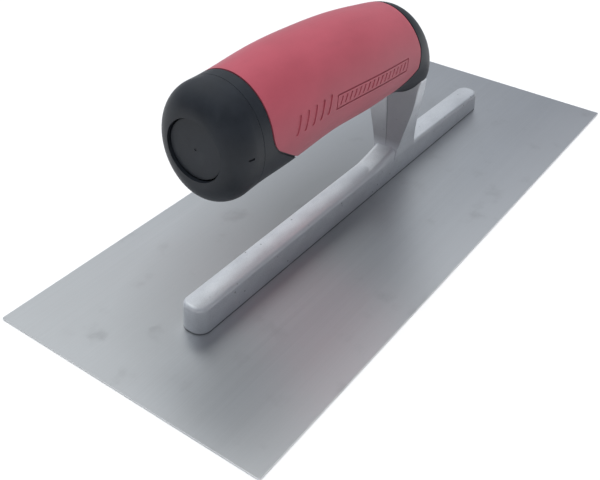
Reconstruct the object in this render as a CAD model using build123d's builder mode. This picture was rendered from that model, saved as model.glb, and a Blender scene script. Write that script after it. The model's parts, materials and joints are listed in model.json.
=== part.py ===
"""Steel finishing trowel: a flat blade riveted to a cast mounting, with a two-colour handle screwed to it.

Millimetres, +Z up. The origin is the middle of the blade's underside. X runs along the blade, from the
handle's butt (-X) to its front (+X), and Y runs across the blade.
"""

import os
from math import cos, radians, sin

from build123d import *

# ---------------------------------------------------------------- driving dimensions

# Blade: the 11 in by 4 1/2 in size
BLADE_LENGTH = 279.4
BLADE_WIDTH = 114.3
BLADE_THICKNESS = 0.8
BLADE_CORNER_RADIUS = 0.5

# Rivets: one row under the rib, headed flush in countersinks
RIVET_COUNT = 7
RIVET_PITCH = 30.0
RIVET_SHANK_RADIUS = 2.2
RIVET_HEAD_RADIUS = 2.8
RIVET_DEPTH = 6.0

# Rib of the mounting: a drafted bar with a crowned top, level behind the post, lower and falling ahead of it
RIB_BACK_X = -105.5
RIB_FRONT_X = 107.2
RIB_JOIN_X = 31.0
RIB_JOIN_OVERLAP = 3.0
RIB_FRONT_DROP = 0.25
RIB_FALL = 1.6
RIB_BASE_WIDTH = 11.0
RIB_HEIGHT = 11.5
RIB_CROWN = 0.9
RIB_DRAFT = 2.3
RIB_END_RADIUS = 4.6
RIB_EDGE_RADIUS = 1.5

# Post of the mounting, as sections: height, front ridge x, front corner x, back x, half width
POST_SECTIONS = (
    (3.0, 22.6, 22.9, 41.0, 4.9),
    (11.0, 23.0, 23.3, 39.9, 5.4),
    (16.0, 23.3, 23.7, 38.0, 6.1),
    (21.0, 23.1, 23.8, 36.0, 7.1),
    (28.0, 22.4, 23.9, 33.3, 8.9),
    (38.0, 21.2, 24.0, 30.8, 11.2),
    (49.8, 19.9, 23.9, 28.3, 13.4),
)
POST_RIDGE_RADIUS = 3.0
POST_FRONT_CORNER_RADIUS = 1.3
POST_BACK_CORNER_RADIUS = 1.2
WING_EDGE_RADIUS = 0.8

# Ramp from the rib's top up to the ledge across the front of the post
RAMP_START_X = -2.0
RAMP_START_DEPTH = 0.55
RAMP_END_X = 23.1
RAMP_TOP = 15.2
RAMP_HALF_WIDTH = 5.0
RAMP_EDGE_RADIUS = 1.9

# Lug of the mounting, inside the handle, leaning back along the way the handle is put on
LUG_FOOT_X = 27.2
LUG_FOOT_Z = 38.5
LUG_LEAN = 15.0
LUG_HEIGHT = 35.5
LUG_DEPTH = 6.5
LUG_WIDTH = 9.0
LUG_TOP_RADIUS = 2.5

# Handle outline, as sections: x, height of its middle, half height, half width
BUTT_X = -98.5
BUTT_RADIUS = 9.0
NOSE_X = 12.0
HANDLE_SECTIONS = (
    (BUTT_X, 69.8, 20.6, 17.9),
    (-90.0, 69.9, 20.6, 18.0),
    (-81.0, 70.1, 20.4, 17.8),
    (-66.0, 70.4, 21.0, 18.0),
    (-46.0, 70.6, 20.7, 17.8),
    (-27.0, 69.5, 20.4, 17.6),
    (-8.0, 67.5, 19.8, 17.2),
    (NOSE_X, 64.6, 18.8, 16.4),
)
# Rounded front of the handle: a drooping quarter ellipse, made fuller by a power below 1
NOSE_LENGTH = 26.0
NOSE_DROOP = 0.23
NOSE_DROOP_GROWTH = 0.02
NOSE_FULLNESS = 0.86
NOSE_ANGLES = (16, 32, 46, 59, 71, 80, 86)

# Grip: a soft sleeve sunk into the core, between two slanting borders
GRIP_THICKNESS = 2.5
GRIP_BACK_X = -81.7
GRIP_BACK_CORNER_Z = 68.9
GRIP_BACK_SLOPE = -0.70
GRIP_FRONT_X = 14.9
GRIP_FRONT_KNEE_Z = 68.5
GRIP_FRONT_LEAN = 0.25
GRIP_FRONT_CORNER_Z = 59.8
GRIP_FRONT_SLOPE = 0.7
GRIP_BACK_RADIUS = 10.0
GRIP_FRONT_RADIUS = 5.0
GRIP_GROOVE = 0.7
GRIP_GROOVE_DEPTH = 0.5

# Plain engraved marking on both sides of the grip
MARK_DEPTH = 0.35
FRAME_CENTRE = (-21.3, 68.3)
FRAME_SIZE = (50.5, 5.4)
FRAME_LINE = 0.5
FRAME_TILT = -5.9
BAR_COUNT = 16
BAR_SIZE = (0.7, 3.2)
BAR_LEAN = 20.0
SLOT_COUNT = 5
SLOT_CENTRE = (-59.5, 71.9)
SLOT_SIZE = (7.0, 1.4)
SLOT_PITCH = 4.4

# Core of the handle
SEAM_X = -86.0
SEAM_EDGE_RADIUS = 0.25
CORE_WALL = 3.0
CAVITY_FRONT_X = 27.0
WEB_THICKNESS = 2.0
POCKET_WALL = 2.4
CLEARANCE = 0.1

# Handle screw (M6, plain shank in place of the thread) and its washer
SCREW_Z = 68.0
SCREW_RADIUS = 3.0
SCREW_CLEARANCE = 0.05
SCREW_END_X = 21.0
SCREW_HEAD_RADIUS = 5.0
SCREW_HEAD_HEIGHT = 4.6
SCREW_SOCKET_RADIUS = 2.9
SCREW_SOCKET_DEPTH = 2.8
SCREW_BORE_RADIUS = 3.4
SCREW_TUBE_RADIUS = 6.4
WASHER_RADIUS = 6.2
WASHER_THICKNESS = 1.2

# Butt cap and end plug
CAP_WALL = 4.5
CAP_SPIGOT_LENGTH = 5.0
CAP_SPIGOT_WALL = 2.0
CAP_FLANGE = 2.0
PLUG_Z = 70.3
PLUG_RADIUS = 10.3
PLUG_GROOVE = 0.4
PLUG_RECESS = 1.2
PLUG_THICKNESS = 2.0
PLUG_SKIRT_RADIUS = 8.5
PLUG_SKIRT_WALL = 1.5
PLUG_SKIRT_LENGTH = 3.4
PLUG_WELL_WALL = 4.0
GATE_RADIUS = 0.5
GATE_DEPTH = 0.2
NICK_CENTRE = (-92.0, 70.7)
NICK_SIZE = (2.2, 0.8)
NICK_DEPTH = 0.4

# Larger than any handle section, for cuts that run right across it
REACH = 60.0
FROM_BASE = (Align.CENTER, Align.CENTER, Align.MIN)


# ---------------------------------------------------------------- shapes that several parts share


def section_plane(x, z=0.0):
    """The plane across the trowel at x: its own X is +Y, its own Y is +Z, and it faces +X."""
    return Plane(origin=(x, 0, z), x_dir=(0, 1, 0), z_dir=(1, 0, 0))


def handle_body(inset=0.0):
    """The handle's outline as one solid, shrunk by inset all round."""
    nose_length = NOSE_LENGTH - inset
    _, nose_z, nose_half_height, nose_half_width = HANDLE_SECTIONS[-1]
    sections = [(x, z, height - inset, width - inset) for x, z, height, width in HANDLE_SECTIONS]
    sections[0] = (BUTT_X + inset, *sections[0][1:])
    for angle in NOSE_ANGLES:
        run = nose_length * sin(radians(angle)) ** NOSE_FULLNESS
        z = nose_z - NOSE_DROOP * run - NOSE_DROOP_GROWTH * run**2
        taper = cos(radians(angle)) ** NOSE_FULLNESS
        half_height = (nose_half_height - inset) * taper
        half_width = (nose_half_width - inset) * taper
        sections.append((NOSE_X + run, z, half_height, half_width))
    with BuildPart() as body:
        for x, z, half_height, half_width in sections:
            with BuildSketch(section_plane(x, z)):
                Ellipse(half_width, half_height)
        loft()
        fillet(body.faces().sort_by(Axis.X)[0].edges(), max(BUTT_RADIUS - inset, 1.5))
    return body.part


def grip_shell(gap):
    """The skin of the handle that the grip fills, held back by gap from both of its borders."""
    top, bottom = 100.0, 42.0
    back_run = (bottom - GRIP_BACK_CORNER_Z) / GRIP_BACK_SLOPE
    front_run = (bottom - GRIP_FRONT_CORNER_Z) / GRIP_FRONT_SLOPE
    front_lean = (top - GRIP_FRONT_KNEE_Z) * GRIP_FRONT_LEAN
    with BuildPart() as shell:
        with BuildSketch(Plane.XZ):
            with BuildLine():
                Polyline(
                    (GRIP_BACK_X, top),
                    (GRIP_BACK_X, GRIP_BACK_CORNER_Z),
                    (GRIP_BACK_X + back_run, bottom),
                    (GRIP_FRONT_X + front_run, bottom),
                    (GRIP_FRONT_X, GRIP_FRONT_CORNER_Z),
                    (GRIP_FRONT_X, GRIP_FRONT_KNEE_Z),
                    (GRIP_FRONT_X - front_lean, top),
                    close=True,
                )
            zone = make_face()
            corners = zone.vertices().filter_by_position(Axis.Y, bottom + 1, top - 1)
            back_corner, *front_corners = corners.sort_by(Axis.X)
            fillet(back_corner, GRIP_BACK_RADIUS)
            fillet(front_corners, GRIP_FRONT_RADIUS)
            if gap:
                offset(amount=-gap, kind=Kind.INTERSECTION, mode=Mode.REPLACE)
        extrude(amount=REACH, both=True)
        add(outline, mode=Mode.INTERSECT)
        add(core_surface, mode=Mode.SUBTRACT)
    return shell.part


def engraving():
    """The cutter for the plain marking: a frame with leaning bars, and a row of slots behind it."""
    with BuildPart() as cutter:
        with BuildSketch(Plane.XZ):
            with Locations(Location((*FRAME_CENTRE, 0), (0, 0, FRAME_TILT))):
                Rectangle(*FRAME_SIZE)
                Rectangle(FRAME_SIZE[0] - 2 * FRAME_LINE, FRAME_SIZE[1] - 2 * FRAME_LINE, mode=Mode.SUBTRACT)
                with GridLocations(FRAME_SIZE[0] / (BAR_COUNT + 1), 0, BAR_COUNT, 1):
                    Rectangle(*BAR_SIZE, rotation=-BAR_LEAN)
            with Locations(SLOT_CENTRE):
                with GridLocations(SLOT_PITCH, 0, SLOT_COUNT, 1):
                    SlotOverall(*SLOT_SIZE, rotation=90 - BAR_LEAN)
        extrude(amount=REACH, both=True)
        add(handle_body(MARK_DEPTH), mode=Mode.SUBTRACT)
    return cutter.part


def lug_body(extra=0.0):
    """The leaning lug, or with extra all round it the space that it takes in the handle."""
    across_lug = (cos(radians(LUG_LEAN)), 0, sin(radians(LUG_LEAN)))
    lean = Plane(origin=(LUG_FOOT_X, 0, LUG_FOOT_Z), x_dir=across_lug, z_dir=(0, -1, 0))
    with BuildPart() as lug:
        with BuildSketch(lean):
            with Locations((0, (LUG_HEIGHT + extra) / 2)):
                Rectangle(LUG_DEPTH + 2 * extra, LUG_HEIGHT + extra)
        extrude(amount=LUG_WIDTH / 2 + extra, both=True)
        fillet(lug.faces().sort_by(Axis.Z)[-1].edges().filter_by(Axis.Y), LUG_TOP_RADIUS + extra)
    return lug.part


def rib_arm(length, drop, fall):
    """An arm of the rib from the join along +X, its top lowered by drop and falling by an angle."""
    half = RIB_BASE_WIDTH / 2
    shoulder = BLADE_THICKNESS + RIB_HEIGHT - RIB_CROWN - drop
    across = Plane(x_dir=(0, 1, 0), z_dir=(cos(radians(fall)), 0, -sin(radians(fall))), origin=(0, 0, 0))
    with BuildPart() as arm:
        with BuildSketch(Plane.XY.offset(BLADE_THICKNESS)) as footprint:
            with Locations(((length - RIB_JOIN_OVERLAP) / 2, 0)):
                Rectangle(length + RIB_JOIN_OVERLAP, RIB_BASE_WIDTH)
            fillet(footprint.vertices().group_by(Axis.X)[-1], RIB_END_RADIUS)
        extrude(amount=RIB_HEIGHT + RIB_CROWN, taper=RIB_DRAFT)
        with BuildSketch(across):
            with BuildLine():
                Polyline((half, shoulder), (half, -half), (-half, -half), (-half, shoulder))
                ThreePointArc((-half, shoulder), (0, shoulder + RIB_CROWN), (half, shoulder))
            make_face()
        extrude(amount=2 * length, both=True, mode=Mode.INTERSECT)
        rim = arm.faces().sort_by(Axis.Z)[-1].edges().sort_by(Axis.X)[1:]
        fillet(rim, RIB_EDGE_RADIUS)
    return arm.part


def ramp_body():
    """The concave ramp that rises out of the rib's top to the ledge in front of the post."""
    start_z = BLADE_THICKNESS + RIB_HEIGHT - RAMP_START_DEPTH
    foot_z = BLADE_THICKNESS + RIB_HEIGHT / 2
    with BuildPart() as ramp:
        with BuildSketch(Plane.XZ):
            with BuildLine():
                TangentArc((RAMP_START_X, start_z), (RAMP_END_X, RAMP_TOP), tangent=(1, 0))
                Polyline(
                    (RAMP_END_X, RAMP_TOP),
                    (RAMP_END_X + 5, RAMP_TOP),
                    (RAMP_END_X + 5, foot_z),
                    (RAMP_START_X, foot_z),
                    (RAMP_START_X, start_z),
                )
            make_face()
        extrude(amount=RAMP_HALF_WIDTH, both=True)
        tops = ramp.edges().filter_by_position(Axis.Z, start_z - 0.1, RAMP_TOP + 0.1)
        fillet(tops.filter_by(Axis.Y, reverse=True), RAMP_EDGE_RADIUS)
    return ramp.part


def slab(start_x, end_x):
    """A block that holds everything of the handle between two x positions."""
    return Pos((start_x + end_x) / 2, 0, PLUG_Z) * Box(end_x - start_x, REACH, REACH)


def rod(start_x, end_x, radius, z):
    """A round bar along X, used for bores, tubes and the screw's parts."""
    return section_plane(start_x, z) * Cylinder(radius, end_x - start_x, align=FROM_BASE)


os.makedirs("parts", exist_ok=True)
outline = handle_body()
core_surface = handle_body(GRIP_THICKNESS)
saddle_surface = handle_body(-CLEARANCE)
ramp = ramp_body()
front_arm = Pos(RIB_JOIN_X, 0, 0) * rib_arm(RIB_FRONT_X - RIB_JOIN_X, RIB_FRONT_DROP, RIB_FALL)
back_arm = Pos(RIB_JOIN_X, 0, 0) * mirror(rib_arm(RIB_JOIN_X - RIB_BACK_X, 0, 0), about=Plane.YZ)
lug = lug_body()
screw_hole = rod(0, REACH, SCREW_RADIUS + SCREW_CLEARANCE, SCREW_Z)


# ---------------------------------------------------------------- blade

with BuildPart() as blade:
    with BuildSketch():
        RectangleRounded(BLADE_LENGTH, BLADE_WIDTH, BLADE_CORNER_RADIUS)
    extrude(amount=BLADE_THICKNESS)
    with Locations(Plane(origin=(0, 0, 0), z_dir=(0, 0, -1))):
        with GridLocations(RIVET_PITCH, 0, RIVET_COUNT, 1):
            CounterSinkHole(RIVET_SHANK_RADIUS, RIVET_HEAD_RADIUS, counter_sink_angle=90)
blade.part.label = "blade"
export_step(blade.part, "parts/blade.step")

# ---------------------------------------------------------------- rivets

with BuildPart() as blade_rivets:
    with GridLocations(RIVET_PITCH, 0, RIVET_COUNT, 1):
        Cylinder(RIVET_SHANK_RADIUS, BLADE_THICKNESS + RIVET_DEPTH, align=FROM_BASE)
        Cone(RIVET_HEAD_RADIUS, RIVET_SHANK_RADIUS, RIVET_HEAD_RADIUS - RIVET_SHANK_RADIUS, align=FROM_BASE)
blade_rivets.part.label = "blade_rivets"
export_step(blade_rivets.part, "parts/blade_rivets.step")

# ---------------------------------------------------------------- mounting

with BuildPart() as mounting:
    # Rib
    add(front_arm)
    add(back_arm)

    # Post
    for height, ridge_x, corner_x, back_x, half_width in POST_SECTIONS:
        with BuildSketch(Plane.XY.offset(height)) as section:
            with BuildLine():
                Polyline(
                    (ridge_x, 0),
                    (corner_x, -half_width),
                    (back_x, -half_width),
                    (back_x, half_width),
                    (corner_x, half_width),
                    close=True,
                )
            make_face()
            ridge, *front_corners = section.vertices().sort_by(Axis.X)[:3]
            back_corners = section.vertices().sort_by(Axis.X)[3:]
            fillet(ridge, POST_RIDGE_RADIUS)
            fillet(front_corners, POST_FRONT_CORNER_RADIUS)
            fillet(back_corners, POST_BACK_CORNER_RADIUS)
    loft()
    fillet(mounting.faces().sort_by(Axis.Z)[-1].edges(), WING_EDGE_RADIUS)

    # Ramp in front of the post
    add(ramp)

    # Saddle that cups the handle, and the lug above it
    add(saddle_surface, mode=Mode.SUBTRACT)
    add(lug)
    add(screw_hole, mode=Mode.SUBTRACT)

    # Blind rivet holes
    add(blade_rivets.part, mode=Mode.SUBTRACT)
mounting.part.label = "mounting"
export_step(mounting.part, "parts/mounting.step")

# ---------------------------------------------------------------- handle core

grip_skin = grip_shell(GRIP_GROOVE)
grip_groove = grip_shell(0) - handle_body(GRIP_GROOVE_DEPTH)
pocket = lug_body(CLEARANCE)
cavity = handle_body(GRIP_THICKNESS + CORE_WALL) & slab(BUTT_X, CAVITY_FRONT_X)
stiffening = (
    rod(SEAM_X, SCREW_END_X, SCREW_TUBE_RADIUS, SCREW_Z)
    + lug_body(POCKET_WALL)
    + Pos(0, 0, SCREW_Z) * Box(4 * REACH, REACH, WEB_THICKNESS)
    + Pos(0, 0, SCREW_Z) * Box(4 * REACH, WEB_THICKNESS, REACH)
)
cap_end = slab(BUTT_X, SEAM_X + CAP_SPIGOT_LENGTH + CAP_FLANGE)
inside = (stiffening - cap_end) & cavity
tube = rod(SEAM_X, SCREW_END_X, SCREW_TUBE_RADIUS, SCREW_Z)
screw_bore = rod(BUTT_X, SCREW_END_X, SCREW_BORE_RADIUS, SCREW_Z)
ahead_of_seam = slab(SEAM_X, REACH)

with BuildPart() as handle_core:
    add(outline)
    add(ahead_of_seam, mode=Mode.INTERSECT)
    fillet(handle_core.faces().sort_by(Axis.X)[0].edges(), SEAM_EDGE_RADIUS)
    add(grip_skin, mode=Mode.SUBTRACT)
    add(grip_groove, mode=Mode.SUBTRACT)
    add(cavity, mode=Mode.SUBTRACT)
    add(inside)
    add(tube)
    add(pocket, mode=Mode.SUBTRACT)
    add(screw_bore, mode=Mode.SUBTRACT)
handle_core.part.label = "handle_core"
export_step(handle_core.part, "parts/handle_core.step")

# ---------------------------------------------------------------- grip sleeve

marking = engraving()

with BuildPart() as grip_sleeve:
    add(grip_skin)
    add(marking, mode=Mode.SUBTRACT)
grip_sleeve.part.label = "grip_sleeve"
export_step(grip_sleeve.part, "parts/grip_sleeve.step")

# ---------------------------------------------------------------- butt cap

behind_seam = slab(BUTT_X, SEAM_X)
well = rod(BUTT_X + CAP_WALL, SEAM_X - CAP_FLANGE, PLUG_SKIRT_RADIUS + PLUG_WELL_WALL, PLUG_Z)
cap_hollow = (handle_body(CAP_WALL) & slab(BUTT_X + CAP_WALL, SEAM_X - CAP_FLANGE)) - well
spigot_zone = slab(SEAM_X - CAP_FLANGE, SEAM_X + CAP_SPIGOT_LENGTH)
spigot_inset = GRIP_THICKNESS + CORE_WALL + CLEARANCE
spigot = handle_body(spigot_inset) & spigot_zone
spigot_hollow = handle_body(spigot_inset + CAP_SPIGOT_WALL) & spigot_zone
plug_seat = rod(BUTT_X, BUTT_X + PLUG_RECESS + PLUG_THICKNESS, PLUG_RADIUS + PLUG_GROOVE, PLUG_Z)
plug_bore = rod(BUTT_X, SEAM_X, PLUG_SKIRT_RADIUS + CLEARANCE, PLUG_Z)
nick_floor = handle_body(NICK_DEPTH)

with BuildPart() as nick:
    with BuildSketch(Plane.XZ):
        with Locations(NICK_CENTRE):
            SlotOverall(*NICK_SIZE)
    extrude(amount=REACH)
    add(nick_floor, mode=Mode.SUBTRACT)

with BuildPart() as butt_cap:
    add(outline)
    add(behind_seam, mode=Mode.INTERSECT)
    fillet(butt_cap.faces().sort_by(Axis.X)[-1].edges(), SEAM_EDGE_RADIUS)
    add(cap_hollow, mode=Mode.SUBTRACT)
    add(spigot)
    add(spigot_hollow, mode=Mode.SUBTRACT)
    add(plug_seat, mode=Mode.SUBTRACT)
    add(plug_bore, mode=Mode.SUBTRACT)
    add(nick.part, mode=Mode.SUBTRACT)
butt_cap.part.label = "butt_cap"
export_step(butt_cap.part, "parts/butt_cap.step")

# ---------------------------------------------------------------- end plug

plug_face_x = BUTT_X + PLUG_RECESS
with BuildPart() as end_plug:
    with BuildSketch(section_plane(plug_face_x, PLUG_Z)):
        Circle(PLUG_RADIUS)
    extrude(amount=PLUG_THICKNESS)
    fillet(end_plug.faces().sort_by(Axis.X)[0].edges(), SEAM_EDGE_RADIUS)
    with BuildSketch(section_plane(plug_face_x + PLUG_THICKNESS, PLUG_Z)):
        Circle(PLUG_SKIRT_RADIUS)
        Circle(PLUG_SKIRT_RADIUS - PLUG_SKIRT_WALL, mode=Mode.SUBTRACT)
    extrude(amount=PLUG_SKIRT_LENGTH)
    with BuildSketch(section_plane(plug_face_x, PLUG_Z)):
        Circle(GATE_RADIUS)
    extrude(amount=GATE_DEPTH, mode=Mode.SUBTRACT)
end_plug.part.label = "end_plug"
export_step(end_plug.part, "parts/end_plug.step")

# ---------------------------------------------------------------- handle screw and washer

with BuildPart() as screw_washer:
    with BuildSketch(section_plane(SEAM_X - WASHER_THICKNESS, SCREW_Z)):
        Circle(WASHER_RADIUS)
        Circle(SCREW_BORE_RADIUS, mode=Mode.SUBTRACT)
    extrude(amount=WASHER_THICKNESS)
screw_washer.part.label = "screw_washer"
export_step(screw_washer.part, "parts/screw_washer.step")

with BuildPart() as handle_screw:
    with BuildSketch(section_plane(SEAM_X - WASHER_THICKNESS, SCREW_Z)):
        Circle(SCREW_RADIUS)
    extrude(amount=SCREW_END_X - SEAM_X + WASHER_THICKNESS)
    with BuildSketch(section_plane(SEAM_X - WASHER_THICKNESS - SCREW_HEAD_HEIGHT, SCREW_Z)):
        Circle(SCREW_HEAD_RADIUS)
    extrude(amount=SCREW_HEAD_HEIGHT)
    with BuildSketch(section_plane(SEAM_X - WASHER_THICKNESS - SCREW_HEAD_HEIGHT, SCREW_Z)):
        RegularPolygon(SCREW_SOCKET_RADIUS, 6)
    extrude(amount=SCREW_SOCKET_DEPTH, mode=Mode.SUBTRACT)
handle_screw.part.label = "handle_screw"
export_step(handle_screw.part, "parts/handle_screw.step")
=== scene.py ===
"""Looks of the finishing trowel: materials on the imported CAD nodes, a plain floor, soft light and the camera.

Metres, in the CAD frame: the origin is the middle of the blade's underside, +X runs along the blade towards
the front of the handle and +Z is up.
"""

import json
from math import radians

import bpy
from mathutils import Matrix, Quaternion, Vector


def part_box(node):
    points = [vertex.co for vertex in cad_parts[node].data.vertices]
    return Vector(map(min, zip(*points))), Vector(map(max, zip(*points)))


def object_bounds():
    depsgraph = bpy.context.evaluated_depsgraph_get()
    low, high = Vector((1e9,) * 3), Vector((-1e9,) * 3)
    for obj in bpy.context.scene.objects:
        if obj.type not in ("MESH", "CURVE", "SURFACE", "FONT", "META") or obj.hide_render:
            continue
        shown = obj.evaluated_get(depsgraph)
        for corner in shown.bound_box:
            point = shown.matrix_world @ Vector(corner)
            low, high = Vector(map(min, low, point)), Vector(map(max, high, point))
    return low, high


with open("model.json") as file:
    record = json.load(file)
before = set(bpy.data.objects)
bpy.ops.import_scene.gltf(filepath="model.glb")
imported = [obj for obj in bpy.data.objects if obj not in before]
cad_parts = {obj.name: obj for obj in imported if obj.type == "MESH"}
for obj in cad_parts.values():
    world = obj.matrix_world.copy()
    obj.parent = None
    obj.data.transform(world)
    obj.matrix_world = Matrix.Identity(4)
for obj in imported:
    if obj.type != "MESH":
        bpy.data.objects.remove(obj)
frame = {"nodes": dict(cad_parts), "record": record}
cad_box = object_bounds()

MM = 0.001
X, Y, Z = 0, 1, 2

# Camera
CAMERA_PLACE = Vector((-0.25997, -0.15163, 0.20349))
CAMERA_AIM = Vector((-0.0392, 0.0006, 0.0008))
CAMERA_ROLL = radians(1.77)
CAMERA_LENS = 50.59
CAMERA_SENSOR = 36.0
CAMERA_REACH = (0.01, 50.0)

# Floor
FLOOR_SIZE = 8.0
FLOOR_DROP = 0.05 * MM

# Sky: its brightest direction, its strength, and the light at each cosine of the angle from there
SKY_AXIS = Vector((0.15, 0.45, 0.88))
SKY_STRENGTH = 1.5
SKY = (
    (0.00, (0.075, 0.078, 0.088, 1.0)),
    (0.40, (0.140, 0.147, 0.165, 1.0)),
    (0.62, (0.310, 0.330, 0.370, 1.0)),
    (0.90, (0.600, 0.625, 0.640, 1.0)),
    (1.00, (0.880, 0.900, 0.910, 1.0)),
)

# Softbox above the trowel
SOFTBOX_PLACE = Vector((-0.15, -0.2, 1.6))
SOFTBOX_SIZE = 1.4
SOFTBOX_WATTS = 21.0

# Blade's -Y edge, and where the blade begins to turn lighter towards it
BLADE_MINUS_Y_EDGE = cad_box[0].y
EDGE_LIGHTENING_START_Y = BLADE_MINUS_Y_EDGE + 25.0 * MM

# Painted shade on the blade, centred under the handle, on the rib's +Y side, where the handle's shadow falls.
# It fades out past its half sizes
HANDLE_SHADE_X, HANDLE_SHADE_Y = -10.0 * MM, 12.0 * MM
HANDLE_SHADE_HALF_LENGTH, HANDLE_SHADE_HALF_WIDTH = 85.0 * MM, 28.0 * MM

# Face of the mounting's post that looks towards the butt, darkened with painted shade from the handle above it
POST_FACE_X = 24.3 * MM
POST_FACE_FOOT_Z = 15.0 * MM

# Foot of the rib on the blade, darkened with painted shade, and its top, whose edges carry a painted highlight
RIB_FOOT_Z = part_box("blade")[1].z
RIB_TOP_Z = RIB_FOOT_Z + 11.5 * MM

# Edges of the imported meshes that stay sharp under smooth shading
SHARP_ANGLE = radians(32)


# ---------------------------------------------------------------- node helpers


class Tree:
    """A material's node tree, with short ways to add the nodes used here."""

    def __init__(self, name):
        self.material = bpy.data.materials.new(name)
        self.material.use_nodes = True
        self.nodes = self.material.node_tree.nodes
        self.links = self.material.node_tree.links
        self.nodes.clear()
        output = self.nodes.new("ShaderNodeOutputMaterial")
        self.shader = self.nodes.new("ShaderNodeBsdfPrincipled")
        self.links.new(self.shader.outputs[0], output.inputs["Surface"])
        self.coordinates = self.nodes.new("ShaderNodeTexCoord").outputs["Object"]

    def put(self, socket, value):
        """Links an output to a socket, or sets a plain value on it."""
        if isinstance(value, bpy.types.NodeSocket):
            self.links.new(value, socket)
        else:
            socket.default_value = value

    def stretched(self, scale):
        """Object coordinates multiplied by scale, in cycles per metre along each axis."""
        node = self.nodes.new("ShaderNodeMapping")
        node.inputs["Scale"].default_value = scale
        self.links.new(self.coordinates, node.inputs["Vector"])
        return node.outputs["Vector"]

    def noise(self, scale, detail=3.0, roughness=0.5, distortion=0.0):
        """A noise pattern of the given cycles per metre, one number or one for each axis."""
        scale = scale if isinstance(scale, tuple) else (scale, scale, scale)
        node = self.nodes.new("ShaderNodeTexNoise")
        node.inputs["Scale"].default_value = 1.0
        node.inputs["Detail"].default_value = detail
        node.inputs["Roughness"].default_value = roughness
        node.inputs["Distortion"].default_value = distortion
        self.links.new(self.stretched(scale), node.inputs["Vector"])
        return node.outputs["Fac"]

    def cells(self, scale):
        """Distance to the nearest of many scattered points, of the given cycles per metre."""
        node = self.nodes.new("ShaderNodeTexVoronoi")
        node.inputs["Scale"].default_value = 1.0
        self.links.new(self.stretched((scale, scale, scale)), node.inputs["Vector"])
        return node.outputs["Distance"]

    def remap(self, value, low, high, to_low=0.0, to_high=1.0):
        """Maps low..high onto to_low..to_high, and clamps outside that range."""
        node = self.nodes.new("ShaderNodeMapRange")
        node.inputs["From Min"].default_value = low
        node.inputs["From Max"].default_value = high
        node.inputs["To Min"].default_value = to_low
        node.inputs["To Max"].default_value = to_high
        self.links.new(value, node.inputs["Value"])
        return node.outputs["Result"]

    def place(self, axis):
        """One of the object coordinates, X, Y or Z, in metres."""
        node = self.nodes.new("ShaderNodeSeparateXYZ")
        self.links.new(self.coordinates, node.inputs["Vector"])
        return node.outputs[axis]

    def maths(self, operation, first, second=0.0):
        node = self.nodes.new("ShaderNodeMath")
        node.operation = operation
        self.put(node.inputs[0], first)
        self.put(node.inputs[1], second)
        return node.outputs["Value"]

    def mix(self, factor, first, second):
        """A colour between first and second."""
        node = self.nodes.new("ShaderNodeMix")
        node.data_type = "RGBA"
        self.put(node.inputs["Factor"], factor)
        self.put(node.inputs["A"], first)
        self.put(node.inputs["B"], second)
        return node.outputs["Result"]

    def bump(self, height, depth, strength=1.0, under=None):
        """Surface relief: height 0..1 stands for depth in metres."""
        node = self.nodes.new("ShaderNodeBump")
        node.inputs["Strength"].default_value = strength
        node.inputs["Distance"].default_value = depth
        self.links.new(height, node.inputs["Height"])
        if under is not None:
            self.links.new(under, node.inputs["Normal"])
        return node.outputs["Normal"]

    def shade(self, **values):
        """Sets the shader's inputs by name, with _ for the spaces."""
        for name, value in values.items():
            self.put(self.shader.inputs[name.replace("_", " ")], value)


def rgb(red, green, blue):
    return (red, green, blue, 1.0)


# ---------------------------------------------------------------- materials


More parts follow.
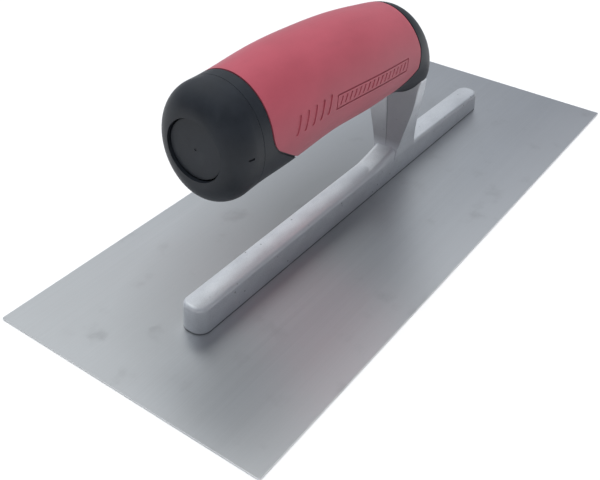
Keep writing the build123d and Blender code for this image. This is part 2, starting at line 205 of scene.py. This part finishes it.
def blade_steel():
    """Satin steel, brushed along X: scratches, smudges, painted shade beside the rib under the handle, and
    lighter towards one long edge.
    """
    t = Tree("blade_steel")
    fine = t.noise((14.0, 3200.0, 3200.0), detail=4.0, roughness=0.65)
    broad = t.noise((5.0, 320.0, 320.0), detail=3.0)
    cloud = t.noise((16.0, 26.0, 26.0), detail=4.0, roughness=0.55, distortion=0.6)
    smudge = t.remap(t.noise(55.0, detail=5.0, roughness=0.6), 0.58, 0.72)
    scratch = t.remap(t.noise((22.0, 5200.0, 5200.0), detail=2.0), 0.66, 0.74)
    streaks = t.maths("ADD", t.maths("MULTIPLY", fine, 0.6), t.maths("MULTIPLY", broad, 0.4))
    steel = t.mix(t.remap(streaks, 0.3, 0.7), rgb(0.585, 0.598, 0.612), rgb(0.655, 0.668, 0.682))
    worn = t.mix(t.remap(cloud, 0.35, 0.7, 0.0, 0.3), steel, rgb(0.56, 0.56, 0.56))
    marked = t.mix(t.maths("MULTIPLY", scratch, 0.3), worn, rgb(0.72, 0.73, 0.74))
    # Lighter towards the blade's -Y edge
    edge_lightening = t.remap(t.place(Y), EDGE_LIGHTENING_START_Y, BLADE_MINUS_Y_EDGE, 0.0, 0.6)
    edge_lightened = t.mix(edge_lightening, marked, rgb(0.78, 0.78, 0.78))
    along = t.maths("DIVIDE", t.maths("SUBTRACT", t.place(X), HANDLE_SHADE_X), HANDLE_SHADE_HALF_LENGTH)
    across = t.maths("DIVIDE", t.maths("SUBTRACT", t.place(Y), HANDLE_SHADE_Y), HANDLE_SHADE_HALF_WIDTH)
    from_shade_centre = t.maths("SQRT", t.maths("ADD", t.maths("POWER", along, 2.0), t.maths("POWER", across, 2.0)))
    # Painted shade: the blade is darkened beside the rib, where the handle's shadow falls
    handle_shaded = t.mix(t.remap(from_shade_centre, 0.3, 1.4, 0.9, 0.0), edge_lightened, rgb(0.38, 0.38, 0.385))
    soiled = t.mix(t.maths("MULTIPLY", smudge, 0.12), handle_shaded, rgb(0.34, 0.33, 0.32))
    rough = t.remap(streaks, 0.25, 0.75, 0.37, 0.44)
    rougher = t.maths("ADD", rough, t.maths("MULTIPLY", smudge, 0.08))
    relief = t.bump(fine, 0.004 * MM, strength=0.6)
    tangent = t.nodes.new("ShaderNodeTangent")
    tangent.direction_type = "RADIAL"
    tangent.axis = "X"
    t.shade(
        Base_Color=soiled,
        Metallic=1.0,
        Roughness=rougher,
        Anisotropic=0.8,
        Tangent=tangent.outputs["Tangent"],
        Normal=t.bump(scratch, 0.006 * MM, strength=0.5, under=relief),
    )
    return t.material


def cast_aluminium():
    """Cast aluminium: cloudy satin skin, grain, pits, a parting line, a painted highlight on the rib edges, and
    painted shade on the post's face and at the rib's foot.
    """
    t = Tree("cast_aluminium")
    cloud = t.noise((60.0, 110.0, 110.0), detail=4.0, roughness=0.6)
    grain = t.noise(2600.0, detail=3.0, roughness=0.6)
    ripple = t.noise(260.0, detail=3.0)
    pits = t.remap(t.cells(330.0), 0.06, 0.16, 1.0, 0.0)
    pitted = t.maths("MULTIPLY", pits, t.remap(t.noise(120.0, detail=2.0), 0.52, 0.62))
    skin = t.mix(t.remap(cloud, 0.3, 0.7), rgb(0.76, 0.775, 0.80), rgb(0.90, 0.915, 0.94))
    speckled = t.mix(t.remap(grain, 0.35, 0.65, 0.0, 0.35), skin, rgb(0.62, 0.63, 0.65))
    before_face = t.remap(t.place(X), POST_FACE_X - 0.4 * MM, POST_FACE_X + 0.4 * MM, 1.0, 0.0)
    above_foot = t.remap(t.place(Z), POST_FACE_FOOT_Z, POST_FACE_FOOT_Z + 4.0 * MM)
    post_face = t.maths("MULTIPLY", before_face, above_foot)
    # Painted shade: the post's butt-facing face, under the handle, is darkened
    post_face_shaded = t.mix(t.maths("MULTIPLY", post_face, 0.75), speckled, rgb(0.43, 0.425, 0.445))
    off_middle = t.maths("ABSOLUTE", t.place(Y))
    seam = t.remap(off_middle, 0.08 * MM, 0.22 * MM, 0.6, 0.0)
    parted = t.mix(t.maths("MULTIPLY", seam, post_face), post_face_shaded, rgb(0.10, 0.10, 0.11))
    on_edge = t.remap(off_middle, 2.8 * MM, 4.2 * MM)
    on_top = t.remap(t.place(Z), RIB_TOP_Z - 2.2 * MM, RIB_TOP_Z - 1.0 * MM)
    below_post = t.remap(t.place(Z), RIB_TOP_Z + 1.0 * MM, RIB_TOP_Z + 4.0 * MM, 1.0, 0.0)
    rib_edge_band = t.maths("MULTIPLY", t.maths("MULTIPLY", on_edge, on_top), below_post)
    # Painted highlight along the rib's top edges; the same band is also made a little rougher
    edge_highlighted = t.mix(t.maths("MULTIPLY", rib_edge_band, 0.6), parted, rgb(0.92, 0.93, 0.95))
    # Painted shade: a dark line where the rib meets the blade
    foot_shade = t.remap(t.place(Z), RIB_FOOT_Z + 0.1 * MM, RIB_FOOT_Z + 0.7 * MM, 0.85, 0.0)
    foot_shaded = t.mix(foot_shade, edge_highlighted, rgb(0.06, 0.06, 0.06))
    relief = t.bump(grain, 0.012 * MM, strength=0.5)
    waves = t.bump(ripple, 0.05 * MM, strength=0.5, under=relief)
    t.shade(
        Base_Color=t.mix(t.maths("MULTIPLY", pitted, 0.6), foot_shaded, rgb(0.16, 0.16, 0.17)),
        Metallic=1.0,
        Roughness=t.maths("ADD", t.remap(cloud, 0.3, 0.7, 0.56, 0.46), t.maths("MULTIPLY", rib_edge_band, 0.12)),
        Normal=t.bump(pitted, -0.08 * MM, strength=0.8, under=waves),
    )
    return t.material


def black_plastic():
    """Charcoal moulding with a fine spark-eroded grain, slightly dusty and rubbed."""
    t = Tree("black_plastic")
    grain = t.noise(2400.0, detail=2.0, roughness=0.6)
    dust = t.noise((70.0, 90.0, 70.0), detail=5.0, roughness=0.65)
    rub = t.remap(t.noise((50.0, 110.0, 110.0), detail=4.0), 0.58, 0.78)
    body = t.mix(t.remap(dust, 0.3, 0.75), rgb(0.013, 0.0155, 0.020), rgb(0.024, 0.028, 0.035))
    t.shade(
        Base_Color=t.mix(t.maths("MULTIPLY", rub, 0.12), body, rgb(0.075, 0.080, 0.088)),
        Roughness=t.remap(dust, 0.3, 0.7, 0.42, 0.52),
        Specular_IOR_Level=0.26,
        Normal=t.bump(grain, 0.02 * MM, strength=0.35),
    )
    return t.material


def red_grip():
    """Soft rose-red rubber: matte, finely grained, a little polished and darkened by use."""
    t = Tree("red_grip")
    grain = t.noise(2100.0, detail=2.0, roughness=0.6)
    soft = t.noise((45.0, 60.0, 60.0), detail=4.0, roughness=0.6)
    used = t.remap(t.noise((30.0, 200.0, 120.0), detail=4.0), 0.55, 0.78)
    body = t.mix(t.remap(soft, 0.3, 0.7), rgb(0.385, 0.071, 0.099), rgb(0.445, 0.086, 0.119))
    t.shade(
        Base_Color=t.mix(t.maths("MULTIPLY", used, 0.25), body, rgb(0.30, 0.066, 0.09)),
        Roughness=t.remap(soft, 0.3, 0.7, 0.56, 0.66),
        Specular_IOR_Level=0.3,
        Sheen_Weight=0.3,
        Sheen_Roughness=0.4,
        Normal=t.bump(grain, 0.02 * MM, strength=0.3),
    )
    return t.material


def bright_steel(name, light, dark, roughness):
    """Plain turned or ground steel for the small fasteners."""
    t = Tree(name)
    turned = t.noise((900.0, 260.0, 260.0), detail=3.0)
    stain = t.noise(420.0, detail=4.0, roughness=0.6)
    t.shade(
        Base_Color=t.mix(t.remap(stain, 0.35, 0.7), light, dark),
        Metallic=1.0,
        Roughness=t.remap(turned, 0.3, 0.7, roughness - 0.06, roughness + 0.08),
        Normal=t.bump(turned, 0.01 * MM, strength=0.4),
    )
    return t.material


def pale_floor():
    """Plain matte white, with a barely visible tooth."""
    t = Tree("pale_floor")
    tooth = t.noise(900.0, detail=2.0)
    t.shade(
        Base_Color=t.mix(t.noise(3.0), rgb(0.90, 0.90, 0.90), rgb(0.93, 0.93, 0.93)),
        Roughness=0.9,
        Specular_IOR_Level=0.1,
        Normal=t.bump(tooth, 0.05 * MM, strength=0.1),
    )
    return t.material


slot_materials = {
    "blade_steel": blade_steel(),
    "cast_aluminium": cast_aluminium(),
    "black_plastic": black_plastic(),
    "red_grip": red_grip(),
    "rivet_steel": bright_steel("rivet_steel", rgb(0.60, 0.60, 0.61), rgb(0.45, 0.45, 0.46), 0.38),
    "screw_steel": bright_steel("screw_steel", rgb(0.62, 0.62, 0.60), rgb(0.48, 0.48, 0.47), 0.34),
}


def finish_node(node, slot):
    """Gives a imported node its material, and smooth shading that keeps its real edges."""
    node.data.materials.clear()
    node.data.materials.append(slot_materials[slot])
    node.data.shade_smooth()
    node.data.set_sharp_from_angle(angle=SHARP_ANGLE)


for entry in frame["record"]["subparts"]:
    finish_node(frame["nodes"][entry["node"]], entry["material_slot"])


# ---------------------------------------------------------------- floor, light and camera


def add_floor():
    half = FLOOR_SIZE / 2
    z = cad_box[0].z - FLOOR_DROP
    mesh = bpy.data.meshes.new("floor")
    corners = [(-half, -half, z), (half, -half, z), (half, half, z), (-half, half, z)]
    mesh.from_pydata(corners, [], [(0, 1, 2, 3)])
    mesh.materials.append(pale_floor())
    floor = bpy.data.objects.new("floor", mesh)
    bpy.context.scene.collection.objects.link(floor)


def add_sky():
    """Soft light from all round, brightest at SKY_AXIS and dimmest from a right angle off it."""
    world = bpy.data.worlds.new("studio")
    world.use_nodes = True
    nodes, links = world.node_tree.nodes, world.node_tree.links
    nodes.clear()
    output = nodes.new("ShaderNodeOutputWorld")
    background = nodes.new("ShaderNodeBackground")
    background.inputs["Strength"].default_value = SKY_STRENGTH
    direction = nodes.new("ShaderNodeTexCoord")
    facing = nodes.new("ShaderNodeVectorMath")
    facing.operation = "DOT_PRODUCT"
    facing.inputs[1].default_value = SKY_AXIS.normalized()
    ramp = nodes.new("ShaderNodeValToRGB")
    while len(ramp.color_ramp.elements) < len(SKY):
        ramp.color_ramp.elements.new(1.0)
    for element, (height, colour) in zip(ramp.color_ramp.elements, SKY):
        element.position = height
        element.color = colour
    links.new(direction.outputs["Generated"], facing.inputs[0])
    links.new(facing.outputs["Value"], ramp.inputs["Fac"])
    links.new(ramp.outputs["Color"], background.inputs["Color"])
    links.new(background.outputs[0], output.inputs["Surface"])
    bpy.context.scene.world = world


def add_softbox(name, place, size, watts):
    """A square soft light, aimed at the origin. It isn't mirrored, so the steel never burns out to white."""
    light = bpy.data.lights.new(name, "AREA")
    light.shape = "SQUARE"
    light.size = size
    light.energy = watts
    softbox = bpy.data.objects.new(name, light)
    softbox.location = place
    softbox.visible_glossy = False
    softbox.rotation_mode = "QUATERNION"
    softbox.rotation_quaternion = (-place).to_track_quat("-Z", "Y")
    bpy.context.scene.collection.objects.link(softbox)


def add_camera():
    camera = bpy.data.objects.new("camera", bpy.data.cameras.new("camera"))
    camera.data.lens = CAMERA_LENS
    camera.data.sensor_width = CAMERA_SENSOR
    camera.data.clip_start, camera.data.clip_end = CAMERA_REACH
    camera.location = CAMERA_PLACE
    camera.rotation_mode = "QUATERNION"
    level = (CAMERA_AIM - CAMERA_PLACE).to_track_quat("-Z", "Y")
    camera.rotation_quaternion = level @ Quaternion((0, 0, 1), CAMERA_ROLL)
    bpy.context.scene.collection.objects.link(camera)
    bpy.context.scene.camera = camera


add_floor()
add_sky()
add_softbox("overhead", SOFTBOX_PLACE, SOFTBOX_SIZE, SOFTBOX_WATTS)
add_camera()
bpy.context.scene.view_settings.view_transform = "Standard"
